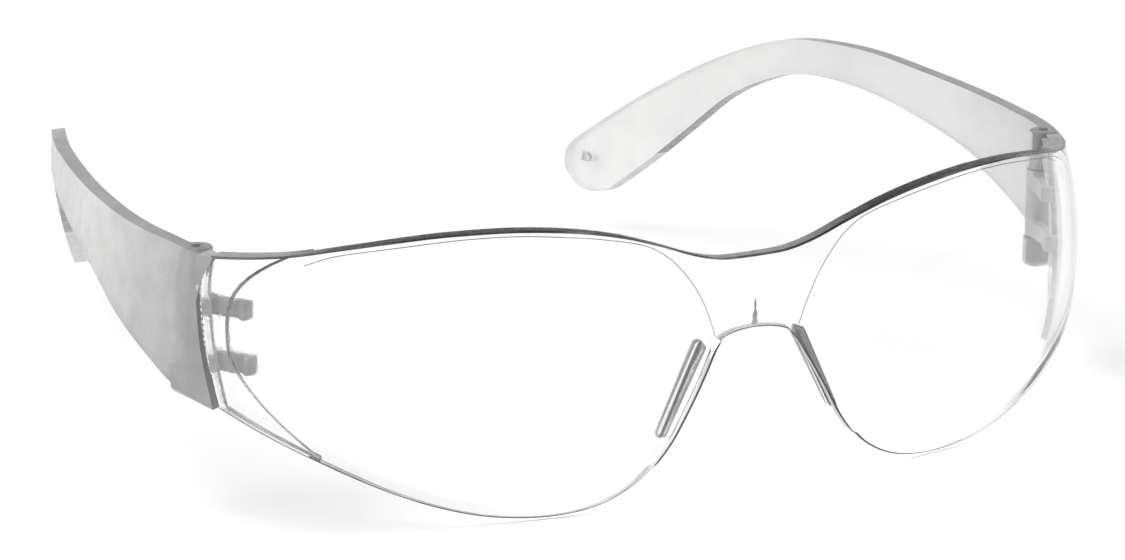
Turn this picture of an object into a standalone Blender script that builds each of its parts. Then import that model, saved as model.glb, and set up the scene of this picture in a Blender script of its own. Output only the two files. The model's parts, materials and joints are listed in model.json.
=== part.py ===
"""Safety glasses: a one-piece clear wraparound lens with two hinged, frosted temples.

X runs to the wearer's left, Y from the lens front back to the temple tips, Z up.
The glasses stand open, as on a table: the lens bottoms and the temple tips touch Z = 0.
Sizes are in millimetres in the constants, and MM turns them into metres.
Every piece of one side is built at +X, and its twin is the mirror image at -X.
"""

import bmesh
import bpy
import math
from mathutils import Matrix, Vector

MM = 0.001

# Where the design's own centre (mid-lens height, sphere centres' plane) sits in the frame
CENTRE_HEIGHT = 20.74
CENTRE_DEPTH = -15.66

# Lens: each half is part of a sphere, and a shallow saddle joins the two at the bridge
LENS_RADIUS = 54.4
LENS_SPHERE_X = 22.95
OPTIC_THICKNESS = 2.2
WING_THICKNESS = 3.2
SADDLE_HALF_WIDTH = 6.0
SADDLE_WIDENING = 0.67
LENS_TOP_EDGE = [(0, 12.9), (5, 13.1), (9.5, 14.2), (14.8, 16.2), (21, 18.2), (28, 19.6), (36, 20.3),
                 (44, 20.1), (50.5, 19.3), (57, 18.0), (63.5, 16.3), (70, 14.9)]
LENS_LOW_EDGE = [(0, 2.4), (3.4, 2.1), (6.0, 1.0), (8.3, -2.6), (11.2, -7.6), (14.4, -12.9),
                 (18.5, -17.2), (24, -19.9), (31, -20.75), (39, -20.1), (46, -18.4), (53, -15.7),
                 (60, -12.2), (66, -8.8), (70.2, -5.9)]
LENS_COLUMNS = 46
LENS_ROWS = 12
STEP_X = 60.5
STEP_WIDTH = 0.5
STEP_BULGE = 9.3
BULGE_START_X = 38.0
SIDE_BULGE = 1.3

# Hinge: a vertical pin through two temple knuckles and the clip's barrel between them
PIN_X = 69.5
PIN_Y = -18.5
PIN_RADIUS = 0.8
PIN_TOP = 15.0
PIN_BOTTOM = -5.6
PIN_DOME = 0.3
BORE_CLEARANCE = 0.06
KNUCKLE_RADIUS = 2.2
KNUCKLE_TOP = 15.3
KNUCKLE_BOTTOM = -6.0
LOW_WEB = (72.3, 73.0)
HIGH_WEB = (70.3, 71.7)
CLIP_TOP = 9.3
CLIP_BOTTOM = -1.1
CLIP_BARREL_RADIUS = 1.95
HINGE_GAP = 0.3
PRONG_HEIGHT = 2.5
HIGH_PRONG_DROP = 0.5
PRONG_THICKNESS = 1.3
HOOK_DEPTH = 0.75
HOOK_WIDTH_ANGLE = 1.2
PRONG_START_ANGLE = 24.8
HIGH_HOOK_ANGLE = 31.2
LOW_HOOK_ANGLE = 32.4

# Temple: centre line in the side view, as (depth, height, half height)
TEMPLE_LINE = [(-22.6, 4.5, 10.7), (-14.5, 6.8, 8.9), (-6, 8.6, 7.2), (5, 10.9, 5.3),
               (17, 12.7, 4.1), (29, 14.2, 3.35), (38.8, 14.6, 2.94), (45.5, 14.0, 2.89), (52.5, 11.6, 2.93),
               (59.7, 7.7, 3.26), (67.0, 2.1, 4.13), (74.3, -4.1, 4.78), (80.8, -9.7, 4.94)]
# Its outer face in the top view, as (depth, distance from the middle)
TEMPLE_BOW = [(-26, 70.95), (-22.5, 72.5), (-17, 74.2), (-8, 75.2), (2, 75.2), (14, 74.0), (28, 71.3),
              (42, 67.0), (58, 60.2), (75, 51.3), (92, 41.8)]
TEMPLE_STATIONS = 30
TEMPLE_TIP_ANGLES = [25, 45, 62, 75]
TEMPLE_LEVELS = 4
TEMPLE_THICKNESS = 2.2
TEMPLE_BEVEL = 0.35
SKIN_CURVATURE = 0.0103
SKIN_GAP = 0.65
SKIN_END_ANGLE = 33.0
SKIN_BLEND_STATIONS = 5
CORD_HOLE_Y = 81.9
CORD_HOLE_Z = -8.9
CORD_HOLE_RADIUS = 0.75

# Nose pad: a slim clear rib behind each side of the nose cut-out
PAD_TOP = (7.9, -48.6, 1.2)
PAD_BOTTOM = (14.3, -48.65, -11.8)
PAD_WIDTH = 1.7
PAD_DEPTH = 2.4
PAD_BEVEL = 0.5


def clear_scene():
    for item in list(bpy.data.objects):
        bpy.data.objects.remove(item, do_unlink=True)


def new_collection(name):
    collection = bpy.data.collections.new(name)
    bpy.context.scene.collection.children.link(collection)
    return collection


def material(name, colour, roughness, metallic=0.0, alpha=1.0):
    result = bpy.data.materials.new(name)
    result.use_nodes = True
    shader = result.node_tree.nodes["Principled BSDF"]
    shader.inputs["Base Color"].default_value = (*colour, 1.0)
    shader.inputs["Roughness"].default_value = roughness
    shader.inputs["Metallic"].default_value = metallic
    shader.inputs["Alpha"].default_value = alpha
    return result


def place(point):
    """A design point in millimetres becomes a frame point in metres."""
    x, y, z = point
    return Vector((x * MM, (y + CENTRE_DEPTH) * MM, (z + CENTRE_HEIGHT) * MM))


def smooth_curve(points, count):
    """Points evenly spaced along a Catmull-Rom curve through the control points."""
    fine = []
    last = len(points) - 1
    for i in range(last):
        before = points[max(i - 1, 0)]
        start = points[i]
        end = points[i + 1]
        after = points[min(i + 2, last)]
        for step in range(20):
            t = step / 20
            fine.append([0.5 * (2 * b + (c - a) * t + (2 * a - 5 * b + 4 * c - d) * t * t
                                + (3 * b - a - 3 * c + d) * t ** 3)
                         for a, b, c, d in zip(before, start, end, after)])
    fine.append(list(points[-1]))
    lengths = [0.0]
    for first, second in zip(fine, fine[1:]):
        lengths.append(lengths[-1] + math.dist(first[:2], second[:2]))
    result = []
    at = 0
    for i in range(count):
        target = lengths[-1] * i / (count - 1)
        while at < len(lengths) - 2 and lengths[at + 1] < target:
            at += 1
        span = lengths[at + 1] - lengths[at]
        mix = (target - lengths[at]) / span
        result.append([a + (b - a) * mix for a, b in zip(fine[at], fine[at + 1])])
    return result


def curve_value(points, where):
    """The curve's second coordinate at a value of its first one."""
    fine = smooth_curve(points, 160)
    for first, second in zip(fine, fine[1:]):
        if where <= second[0]:
            mix = (where - first[0]) / (second[0] - first[0])
            return first[1] + (second[1] - first[1]) * mix
    return fine[-1][1]


def mesh_object(name, vertices, faces, collection):
    mesh = bpy.data.meshes.new(name)
    mesh.from_pydata([tuple(place(v)) for v in vertices], [], faces)
    mesh.validate()
    item = bpy.data.objects.new(name, mesh)
    collection.objects.link(item)
    return item


def mesh_from(item, name, collection):
    """A mesh object with the evaluated shape of another object, which is removed."""
    bpy.context.view_layer.update()
    evaluated = item.evaluated_get(bpy.context.evaluated_depsgraph_get())
    mesh = bpy.data.meshes.new_from_object(evaluated)
    mesh.name = name
    mesh.transform(item.matrix_world)
    shape = bmesh.new()
    shape.from_mesh(mesh)
    bmesh.ops.remove_doubles(shape, verts=shape.verts, dist=0.001 * MM)
    bmesh.ops.recalc_face_normals(shape, faces=shape.faces)
    shape.to_mesh(mesh)
    shape.free()
    bpy.data.objects.remove(item, do_unlink=True)
    result = bpy.data.objects.new(name, mesh)
    collection.objects.link(result)
    return result


def flat_plate(name, outline, bottom, top, collection):
    """A plan-view outline, extruded from one height to another."""
    curve = bpy.data.curves.new(name, "CURVE")
    curve.dimensions = "2D"
    curve.fill_mode = "BOTH"
    curve.extrude = (top - bottom) / 2 * MM
    spline = curve.splines.new("POLY")
    spline.points.add(len(outline) - 1)
    for point, (x, y) in zip(spline.points, outline):
        point.co = (x * MM, (y + CENTRE_DEPTH) * MM, 0.0, 1.0)
    spline.use_cyclic_u = True
    item = bpy.data.objects.new(name, curve)
    item.location.z = ((top + bottom) / 2 + CENTRE_HEIGHT) * MM
    collection.objects.link(item)
    return mesh_from(item, name, collection)


def upright_cylinder(name, radius, bottom, top, collection, segments=32):
    bpy.ops.mesh.primitive_cylinder_add(
        vertices=segments, radius=radius * MM, depth=(top - bottom) * MM,
        location=place((PIN_X, PIN_Y, (top + bottom) / 2)))
    item = bpy.context.object
    item.name = name
    for owner in list(item.users_collection):
        owner.objects.unlink(item)
    collection.objects.link(item)
    return item


def combine(item, other, operation):
    modifier = item.modifiers.new(operation.lower(), "BOOLEAN")
    modifier.operation = operation
    modifier.solver = "EXACT"
    modifier.object = other
    other.hide_render = True
    other.display_type = "WIRE"


def bevel(item, width, segments=2, angle=50):
    modifier = item.modifiers.new("edges", "BEVEL")
    modifier.width = width * MM
    modifier.segments = segments
    modifier.limit_method = "ANGLE"
    modifier.angle_limit = math.radians(angle)


def shade(item, angle=35):
    item.data.shade_smooth()
    item.data.set_sharp_from_angle(angle=math.radians(angle))


def mirror_twin(item, name, collection):
    """The same piece on the other side of the glasses."""
    bpy.context.view_layer.update()
    evaluated = item.evaluated_get(bpy.context.evaluated_depsgraph_get())
    mesh = bpy.data.meshes.new_from_object(evaluated)
    mesh.name = name
    mesh.transform(Matrix.Diagonal((-1, 1, 1, 1)) @ item.matrix_world)
    mesh.flip_normals()
    twin = bpy.data.objects.new(name, mesh)
    collection.objects.link(twin)
    return twin


def put_origin(item, point):
    """Moves an object's origin without moving its shape."""
    shift = place(point) - item.location
    item.data.transform(Matrix.Translation(-shift))
    item.location = place(point)


# ---------------------------------------------------------------- lens

def sphere_depth(x, z):
    """Front face of one lens half: its depth at a width and height."""
    across = x - LENS_SPHERE_X
    return -math.sqrt(LENS_RADIUS ** 2 - across ** 2 - z ** 2)


def lens_depth(x, z):
    """Front face of the lens, with the saddle that joins its halves."""
    width = max(SADDLE_HALF_WIDTH + SADDLE_WIDENING * z, SADDLE_HALF_WIDTH)
    if x >= width:
        return sphere_depth(x, z)
    edge = sphere_depth(width, z)
    slope = (width - LENS_SPHERE_X) / -edge
    return edge + slope * (x * x - width * width) / (2 * width)


def bulge_shape(level):
    power = 3.2 if level > 0.5 else 1.7
    return 1 - abs(2 * level - 1) ** power


def column_bulge(x):
    """How far a column of the lens grid bows outward at its middle."""
    if x < BULGE_START_X:
        return 0.0
    if x < STEP_X:
        return STEP_BULGE * ((x - BULGE_START_X) / (STEP_X - BULGE_START_X)) ** 2
    outer = max(0.0, x - STEP_X - STEP_WIDTH)
    whole = LENS_LOW_EDGE[-1][0] - STEP_X - STEP_WIDTH
    return STEP_BULGE + (SIDE_BULGE - STEP_BULGE) * outer / whole


def lens_columns():
    """Low-edge points of the lens grid, with a pair at the wing's step."""
    columns = smooth_curve(LENS_LOW_EDGE, LENS_COLUMNS)
    columns = [c for c in columns if abs(c[0] - STEP_X) > 1.2]
    for x in (STEP_X, STEP_X + STEP_WIDTH):
        columns.append([x, curve_value(LENS_LOW_EDGE[8:], x)])
    return sorted(columns)


def lens_normal(x, z):
    """Outward direction of the lens's front face."""
    step = 0.02
    slope_x = (lens_depth(x + step, z) - lens_depth(x - step, z)) / (2 * step)
    slope_z = (lens_depth(x, z + step) - lens_depth(x, z - step)) / (2 * step)
    return Vector((slope_x, -1.0, slope_z)).normalized()


def lens_sheets():
    """Front and back points of half of the lens. The wall runs level, so the rim is cut flat."""
    front = []
    back = []
    columns = lens_columns()
    for x, low in columns:
        high = curve_value(LENS_TOP_EDGE, min(x, LENS_TOP_EDGE[-1][0]))
        thickness = WING_THICKNESS if x > STEP_X else OPTIC_THICKNESS
        for row in range(LENS_ROWS + 1):
            level = row / LENS_ROWS
            z = low + (high - low) * level
            across = x + column_bulge(x) * bulge_shape(level)
            if x == columns[-1][0]:
                across -= (x - LENS_TOP_EDGE[-1][0]) * level
            point = Vector((across, lens_depth(across, z), z))
            normal = lens_normal(across, z)
            if x == 0:
                normal.x = 0.0
            flat = Vector((normal.x, normal.y, 0.0))
            front.append(point)
            back.append(point - flat * thickness / flat.length_squared)
    return front, back, len(columns)


def make_lens(collection):
    """A loft between the two sheets, closed by the rim and open at the mirror plane."""
    front, back, count = lens_sheets()
    stride = LENS_ROWS + 1
    behind = len(front)
    faces = []
    for c in range(count - 1):
        start = c * stride
        for r in range(LENS_ROWS):
            corner = start + r
            faces.append((corner, corner + stride, corner + stride + 1, corner + 1))
            corner += behind
            faces.append((corner, corner + 1, corner + stride + 1, corner + stride))
        for edge, turn in ((start, 1), (start + LENS_ROWS, -1)):
            faces.append((edge, edge + behind, edge + behind + stride, edge + stride)[::turn])
    side = (count - 1) * stride
    for r in range(side, side + LENS_ROWS):
        faces.append((r, r + behind, r + behind + 1, r + 1))
    lens = mesh_object("lens", front + back, faces, collection)
    mirror = lens.modifiers.new("halves", "MIRROR")
    mirror.merge_threshold = 0.0001
    shade(lens)
    return lens


# ---------------------------------------------------------------- temple

def temple_face(y, z):
    """Distance from the middle to a temple's outer face, at a depth and height."""
    flatten = min(max((y - PIN_Y) / 60, 0.0), 0.85)
    return curve_value(TEMPLE_BOW, y) - SKIN_CURVATURE * (1 - flatten) * z * z


def skin_front_depth(z):
    """Depth of the temple's front end, just behind the lens's side edge."""
    low = LENS_LOW_EDGE[-1]
    high = LENS_TOP_EDGE[-1]
    level = min(max((z - low[1]) / (high[1] - low[1]), 0.0), 1.0)
    x = low[0] + (high[0] - low[0]) * level + SIDE_BULGE * bulge_shape(level)
    return sphere_depth(x, z) + SKIN_GAP


def temple_stations():
    """Centre, across direction and half height of each cross-section, in the side view."""
    line = smooth_curve(TEMPLE_LINE, TEMPLE_STATIONS)
    stations = []
    for i, (y, z, half) in enumerate(line):
        before = line[max(i - 1, 0)]
        after = line[min(i + 1, len(line) - 1)]
        along = Vector((after[0] - before[0], after[1] - before[1])).normalized()
        if i == 0:
            along = Vector((1.0, 0.0))
        stations.append((Vector((y, z)), along, half))
    centre, along, half = stations[-1]
    for angle in TEMPLE_TIP_ANGLES:
        turn = math.radians(angle)
        stations.append((centre + along * half * math.sin(turn), along, half * math.cos(turn)))
    return stations


def make_temple_arm(name, collection):
    vertices = []
    stations = temple_stations()
    levels = [i / TEMPLE_LEVELS * 2 - 1 for i in range(TEMPLE_LEVELS + 1)]
    for number, (centre, along, half) in enumerate(stations):
        across = Vector((-along.y, along.x))
        blend = max(0.0, 1 - number / SKIN_BLEND_STATIONS)
        side_points = []
        for level in levels:
            y, z = centre + across * half * level
            y += blend * (skin_front_depth(z) - stations[0][0].x)
            side_points.append((temple_face(y, z), y, z))
        slant = math.radians(SKIN_END_ANGLE * blend)
        inward = TEMPLE_THICKNESS * math.cos(slant)
        backward = TEMPLE_THICKNESS * math.sin(slant)
        ring = side_points + [(x - inward, y + backward, z) for x, y, z in reversed(side_points)]
        vertices.extend(ring)
    size = 2 * len(levels)
    faces = []
    for end in (0, len(vertices) - size):
        for i in range(TEMPLE_LEVELS):
            faces.append((end + i, end + i + 1, end + size - 2 - i, end + size - 1 - i))
    for s in range(len(stations) - 1):
        for i in range(size):
            a = s * size + i
            b = s * size + (i + 1) % size
            faces.append((a, a + size, b + size, b))
    arm = mesh_object(name, vertices, faces, collection)
    shape = bmesh.new()
    shape.from_mesh(arm.data)
    bmesh.ops.recalc_face_normals(shape, faces=shape.faces)
    shape.to_mesh(arm.data)
    shape.free()
    bevel(arm, TEMPLE_BEVEL)
    return mesh_from(arm, name, collection)


def knuckle_outline(web):
    """A round boss about the pin, with a web out to the temple's outer skin."""
    outline = []
    for i in range(17):
        turn = math.radians(90 + 180 * i / 16)
        outline.append((PIN_X + KNUCKLE_RADIUS * math.cos(turn), PIN_Y + KNUCKLE_RADIUS * math.sin(turn)))
    outline.append((web[0], PIN_Y - KNUCKLE_RADIUS))
    outline.append((web[1], PIN_Y + KNUCKLE_RADIUS))
    return outline


def make_temple(parts, cutters):
    temple = make_temple_arm("temple_left", parts)
    lower = CLIP_BOTTOM - HINGE_GAP
    upper = CLIP_TOP + HINGE_GAP
    for name, bottom, top, web in (("knuckle_low", KNUCKLE_BOTTOM, lower, LOW_WEB),
                                   ("knuckle_high", upper, KNUCKLE_TOP, HIGH_WEB)):
        knuckle = flat_plate(name, knuckle_outline(web), bottom, top, cutters)
        bevel(knuckle, 0.25, segments=1)
        combine(temple, knuckle, "UNION")
    clearance = upright_cylinder("clip_clearance", CLIP_BARREL_RADIUS + HINGE_GAP, lower, upper, cutters)
    combine(temple, clearance, "DIFFERENCE")
    bore = upright_cylinder("pin_bore", PIN_RADIUS + BORE_CLEARANCE, KNUCKLE_BOTTOM - 2, KNUCKLE_TOP + 2, cutters)
    combine(temple, bore, "DIFFERENCE")
    bpy.ops.mesh.primitive_cylinder_add(
        vertices=20, radius=CORD_HOLE_RADIUS * MM, depth=20 * MM,
        location=place((temple_face(CORD_HOLE_Y, CORD_HOLE_Z), CORD_HOLE_Y, CORD_HOLE_Z)),
        rotation=(0, math.radians(90), 0))
    hole = bpy.context.object
    hole.name = "cord_hole"
    for owner in list(hole.users_collection):
        owner.objects.unlink(hole)
    cutters.objects.link(hole)
    combine(temple, hole, "DIFFERENCE")
    temple = mesh_from(temple, "temple_left", parts)
    shade(temple)
    return temple


# ---------------------------------------------------------------- clip, pin and nose pad

def prong_outline(height, hook_angle):
    """Plan view of a prong: from the barrel, along the wing's inner face, to its hook."""
    end_angle = hook_angle + HOOK_WIDTH_ANGLE
    wing_face = math.sqrt((LENS_RADIUS - WING_THICKNESS) ** 2 - height ** 2) - HINGE_GAP
    inner = wing_face - PRONG_THICKNESS
    hook = wing_face + HOOK_DEPTH

    def on_arc(radius, degrees):
        turn = math.radians(-degrees)
        return (LENS_SPHERE_X + radius * math.cos(turn), radius * math.sin(turn))

    outer_side = [on_arc(wing_face, PRONG_START_ANGLE + i * 1.1) for i in range(6)]
    outer_side.append(on_arc(wing_face, hook_angle))
    hook_side = [on_arc(hook, hook_angle + 0.15), on_arc(hook, end_angle - 0.3),
                 on_arc(wing_face, end_angle), on_arc(inner, end_angle)]
    inner_side = [on_arc(inner, end_angle - 2 * i) for i in range(1, 4)]
    root = [(PIN_X - CLIP_BARREL_RADIUS * 0.95, PIN_Y), (PIN_X, PIN_Y + CLIP_BARREL_RADIUS * 0.5),
            (PIN_X + CLIP_BARREL_RADIUS * 0.7, PIN_Y - CLIP_BARREL_RADIUS * 0.6)]
    return outer_side + hook_side + inner_side + root


def make_clip(parts, cutters):
    clip = upright_cylinder("hinge_clip_left", CLIP_BARREL_RADIUS, CLIP_BOTTOM, CLIP_TOP, parts)
    high_prong = CLIP_TOP - HIGH_PRONG_DROP - PRONG_HEIGHT
    for name, bottom, hook_angle in (("prong_low", CLIP_BOTTOM + 0.01, LOW_HOOK_ANGLE),
                                     ("prong_high", high_prong, HIGH_HOOK_ANGLE)):
        top = bottom + PRONG_HEIGHT
        outline = prong_outline(max(abs(bottom), abs(top)), hook_angle)
        prong = flat_plate(name, outline, bottom, top, cutters)
        combine(clip, prong, "UNION")
    bore = upright_cylinder("clip_bore", PIN_RADIUS + BORE_CLEARANCE, CLIP_BOTTOM - 2, CLIP_TOP + 2, cutters)
    combine(clip, bore, "DIFFERENCE")
    clip = mesh_from(clip, "hinge_clip_left", parts)
    shade(clip)
    return clip


def make_pin(parts):
    """A turned pin with slightly domed ends."""
    rim = PIN_RADIUS - PIN_DOME
    profile = [(0, PIN_TOP), (rim, PIN_TOP - 0.02), (PIN_RADIUS, PIN_TOP - PIN_DOME),
               (PIN_RADIUS, PIN_BOTTOM + PIN_DOME), (rim, PIN_BOTTOM + 0.02), (0, PIN_BOTTOM)]
    middle = (PIN_TOP + PIN_BOTTOM) / 2
    mesh = bpy.data.meshes.new("hinge_pin_left")
    mesh.from_pydata([(r * MM, 0, (z - middle) * MM) for r, z in profile],
                     [(i, i + 1) for i in range(len(profile) - 1)], [])
    pin = bpy.data.objects.new("hinge_pin_left", mesh)
    pin.location = place((PIN_X, PIN_Y, middle))
    parts.objects.link(pin)
    screw = pin.modifiers.new("turned", "SCREW")
    screw.steps = 32
    screw.render_steps = 32
    screw.use_merge_vertices = True
    screw.merge_threshold = 0.00001
    pin = mesh_from(pin, "hinge_pin_left", parts)
    shade(pin)
    return pin


def make_nose_pad(parts):
    """A straight rib along the side of the nose cut-out, with rounded edges."""
    top = place(PAD_TOP)
    bottom = place(PAD_BOTTOM)
    along = (top - bottom).normalized()
    back = Vector((0.0, 1.0, 0.0))
    back = (back - along * back.dot(along)).normalized()
    side = back.cross(along)
    turn = Matrix((side, back, along)).transposed()
    bpy.ops.mesh.primitive_cube_add(size=1.0)
    pad = bpy.context.object
    pad.name = "nose_pad_left"
    for owner in list(pad.users_collection):
        owner.objects.unlink(pad)
    parts.objects.link(pad)
    size = Matrix.Diagonal((PAD_WIDTH * MM, PAD_DEPTH * MM, (top - bottom).length, 1))
    pad.data.transform(Matrix.Translation((top + bottom) / 2) @ turn.to_4x4() @ size)
    bevel(pad, PAD_BEVEL, segments=3)
    pad = mesh_from(pad, "nose_pad_left", parts)
    shade(pad, angle=50)
    return pad


def main():
    clear_scene()
    parts = new_collection("safety_glasses")
    cutters = new_collection("cutters")
    clear = material("clear_polycarbonate", (0.93, 0.95, 0.95), 0.05, alpha=0.3)
    pad_clear = material("pad_polycarbonate", (0.86, 0.88, 0.88), 0.1, alpha=0.4)
    frosted = material("frosted_polycarbonate", (0.72, 0.73, 0.73), 0.4, alpha=0.75)
    clip_frosted = material("clip_polycarbonate", (0.62, 0.63, 0.63), 0.35, alpha=0.85)
    steel = material("pin_steel", (0.62, 0.62, 0.63), 0.25, metallic=1.0)

    lens = make_lens(parts)
    lens.data.materials.append(clear)

    pin_place = (PIN_X, PIN_Y, (CLIP_TOP + CLIP_BOTTOM) / 2)
    sides = [(make_temple(parts, cutters), "temple_right", frosted, pin_place),
             (make_clip(parts, cutters), "hinge_clip_right", clip_frosted, pin_place),
             (make_pin(parts), "hinge_pin_right", steel, pin_place),
             (make_nose_pad(parts), "nose_pad_right", pad_clear, PAD_TOP)]
    for item, twin_name, look, origin in sides:
        twin = mirror_twin(item, twin_name, parts)
        twin_origin = (-origin[0], origin[1], origin[2])
        for piece, point in ((item, origin), (twin, twin_origin)):
            put_origin(piece, point)
            piece.data.materials.clear()
            piece.data.materials.append(look)

    for cutter in cutters.objects:
        cutter.hide_render = True
        cutter.display_type = "WIRE"


main()
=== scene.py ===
"""Looks of the safety glasses: a clear one-piece lens, frosted clips and temples, steel pins.

Shapes are worked out in the design's own millimetres, from the point midway between the centres
of the two lens spheres, and place() puts them in the frame. Every piece of one side is built at
+X and mirrored to -X.
"""

import bpy
import bmesh
import json
import math
from mathutils import Matrix, Vector


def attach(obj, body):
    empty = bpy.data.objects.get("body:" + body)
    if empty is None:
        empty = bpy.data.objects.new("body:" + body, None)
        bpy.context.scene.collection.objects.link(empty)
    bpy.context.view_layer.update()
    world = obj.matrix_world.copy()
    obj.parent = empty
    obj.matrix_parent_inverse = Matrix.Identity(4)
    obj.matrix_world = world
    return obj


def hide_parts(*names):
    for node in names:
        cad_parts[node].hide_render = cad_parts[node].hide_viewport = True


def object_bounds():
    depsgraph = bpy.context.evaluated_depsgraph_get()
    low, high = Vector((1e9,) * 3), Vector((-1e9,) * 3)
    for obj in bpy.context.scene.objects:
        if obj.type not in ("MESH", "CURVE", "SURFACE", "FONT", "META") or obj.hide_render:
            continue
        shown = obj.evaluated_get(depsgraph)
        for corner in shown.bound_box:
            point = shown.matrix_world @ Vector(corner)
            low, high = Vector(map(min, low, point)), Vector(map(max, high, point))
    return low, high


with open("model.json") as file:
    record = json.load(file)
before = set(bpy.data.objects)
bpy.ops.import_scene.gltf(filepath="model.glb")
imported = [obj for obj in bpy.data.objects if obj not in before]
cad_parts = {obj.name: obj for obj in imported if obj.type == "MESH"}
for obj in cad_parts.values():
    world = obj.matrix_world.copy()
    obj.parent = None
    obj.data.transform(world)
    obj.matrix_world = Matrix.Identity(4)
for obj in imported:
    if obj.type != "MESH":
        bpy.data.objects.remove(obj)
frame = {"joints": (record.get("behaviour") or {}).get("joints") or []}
CAD_LOW, CAD_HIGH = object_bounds()

MM = 0.001
PIN_X = 69.5
PIN_Y = -18.5
PIN_MIDDLE_Z = 4.1
LEFT_FOLD = next(j for j in frame["joints"] if j["name"] == "left_temple_fold")
CENTRE = Vector(LEFT_FOLD["pos_m"]) - Vector((PIN_X, PIN_Y, PIN_MIDDLE_Z)) * MM

# Lens
LENS_RADIUS = 54.4
LENS_SPHERE_X = 22.95
OPTIC_THICKNESS = 2.2
WING_THICKNESS = 3.2
SADDLE_HALF_WIDTH = 6.0
SADDLE_WIDENING = 0.67
LENS_TOP_EDGE = [(0, 12.9), (5, 13.1), (9.5, 14.2), (14.8, 16.2), (21, 18.2), (28, 19.6), (36, 20.3),
                 (44, 20.1), (50.5, 19.3), (57, 18.0), (63.5, 16.3), (70, 14.9)]
LENS_LOW_EDGE = [(0, 2.4), (3.4, 2.1), (6.0, 1.0), (8.3, -2.6), (11.2, -7.6), (14.4, -12.9),
                 (18.5, -17.2), (24, -19.9), (31, -20.75), (39, -20.1), (46, -18.4), (53, -15.7),
                 (60, -12.2), (66, -8.8), (70.2, -5.9)]
LENS_COLUMNS = 96
LENS_ROWS = 26
STEP_X = 60.5
STEP_COLUMNS = [-0.45, -0.2, 0.0, 0.06, 0.14, 0.24, 0.34, 0.42, 0.48, 0.7]
STEP_START = 0.0
STEP_END = 0.48
STEP_WIDTH = 0.5
STEP_BULGE = 9.3
BULGE_START_X = 38.0
SIDE_BULGE = 1.3
FRONT_ROUNDING = 0.26
BACK_ROUNDING = 0.3
ROUNDING_STEPS = 3
BORDER_ROW = 0.45
LENS_MIDDLE = (0, -50, 5)
OPTIC_BORDER = [(61.2, 15.5), (57.3, 17.15), (50.5, 18.5), (43.2, 19.45), (35.5, 19.6), (27.3, 18.75),
                (22.0, 17.75), (18.0, 16.7), (15.2, 15.3), (12.6, 13.1), (9.9, 9.6), (7.9, 5.6), (6.7, 2.2)]
BORDER_RADIUS = 0.06
BORDER_DEPTH = 0.04
BORDER_STATIONS = 130
BORDER_SIDES = 6
GATE_RAISED = 0.02
GATE_SUNK = 0.12
GATE_OUTLINE = [(-0.5, 3.0), (0.1, 2.8), (0.55, 3.1), (0.3, 3.9), (0.42, 4.4), (0.15, 5.2), (0.2, 5.9),
                (0.0, 6.8), (-0.12, 5.8), (-0.08, 5.0), (-0.34, 4.2), (-0.25, 3.6)]

# Hinge
PIN_RADIUS = 0.8
PIN_TOP = 15.0
PIN_BOTTOM = -5.6
BORE_CLEARANCE = 0.06
KNUCKLE_RADIUS = 2.2
KNUCKLE_TOP = 15.3
KNUCKLE_BOTTOM = -6.0
LOW_WEB = (72.3, 73.0)
HIGH_WEB = (70.3, 71.7)
CLIP_TOP = 9.3
CLIP_BOTTOM = -1.1
CLIP_BARREL_RADIUS = 1.95
HINGE_GAP = 0.3
PRONG_HEIGHT = 2.5
HIGH_PRONG_DROP = 0.5
PRONG_THICKNESS = 1.3
HOOK_DEPTH = 0.75
HOOK_WIDTH_ANGLE = 1.2
PRONG_START_ANGLE = 24.8
HIGH_HOOK_ANGLE = 31.2
LOW_HOOK_ANGLE = 32.4
CLIP_VOXEL = 0.11

# Temple
TEMPLE_LINE = [(-22.6, 4.5, 10.7), (-14.5, 6.8, 8.9), (-6, 8.6, 7.2), (5, 10.9, 5.3),
               (17, 12.7, 4.1), (29, 14.2, 3.35), (38.8, 14.6, 2.94), (45.5, 14.0, 2.89),
               (52.5, 11.6, 2.93), (59.7, 7.7, 3.26), (67.0, 2.1, 4.13), (74.3, -4.1, 4.78),
               (80.8, -9.7, 4.94)]
TEMPLE_BOW = [(-26, 70.95), (-22.5, 72.5), (-17, 74.2), (-8, 75.2), (2, 75.2), (14, 74.0), (28, 71.3),
              (42, 67.0), (58, 60.2), (75, 51.3), (92, 41.8)]
TEMPLE_STATIONS = 96
TEMPLE_TIP_ANGLES = [12, 24, 35, 45, 54, 62, 69, 75]
TEMPLE_LEVELS = 10
TEMPLE_THICKNESS = 2.2
TEMPLE_ROUNDING = 0.45
SKIN_CURVATURE = 0.0103
SKIN_FLATTEN_LENGTH = 60.0
SKIN_FLATTEN_MOST = 0.85
SKIN_GAP = 0.65
SKIN_END_ANGLE = 33.0
SKIN_BLEND_LENGTH = 20.0
BROAD_FACE = 0.93
DOWNWARD_FOR_PAINTED_SHADE = -0.3
CORD_HOLE_Y = 81.9
CORD_HOLE_Z = -8.9
CORD_HOLE_RADIUS = 0.75

# Nose pad
PAD_TOP = (7.9, -48.6, 1.2)
PAD_BOTTOM = (14.3, -48.65, -11.8)
PAD_WIDTH = 1.7
PAD_DEPTH = 2.4
PAD_STATIONS = 24
PAD_FOOT_ROUND = 0.9
PAD_HEAD_ROUND = 0.8
PAD_CORNER = 0.42
PAD_LEAN = 0.3

# View
CAMERA_PLACE = (-0.304, -0.58186, 0.20134)
CAMERA_AZIMUTH = 28.0
CAMERA_DROP = 16.0
CAMERA_LENS = 144.0
FLOOR_HALF = 4.0
FLOOR_DROP = 0.0002
LAMP_SIZE = 1.6
LAMPS = [("key", (-1.0, 0.8, 1.8), 34.0), ("fill", (1.2, -0.9, 1.6), 14.0)]


# ---------------------------------------------------------------- small tools

def place(point):
    return Vector(point) * MM + CENTRE


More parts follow.
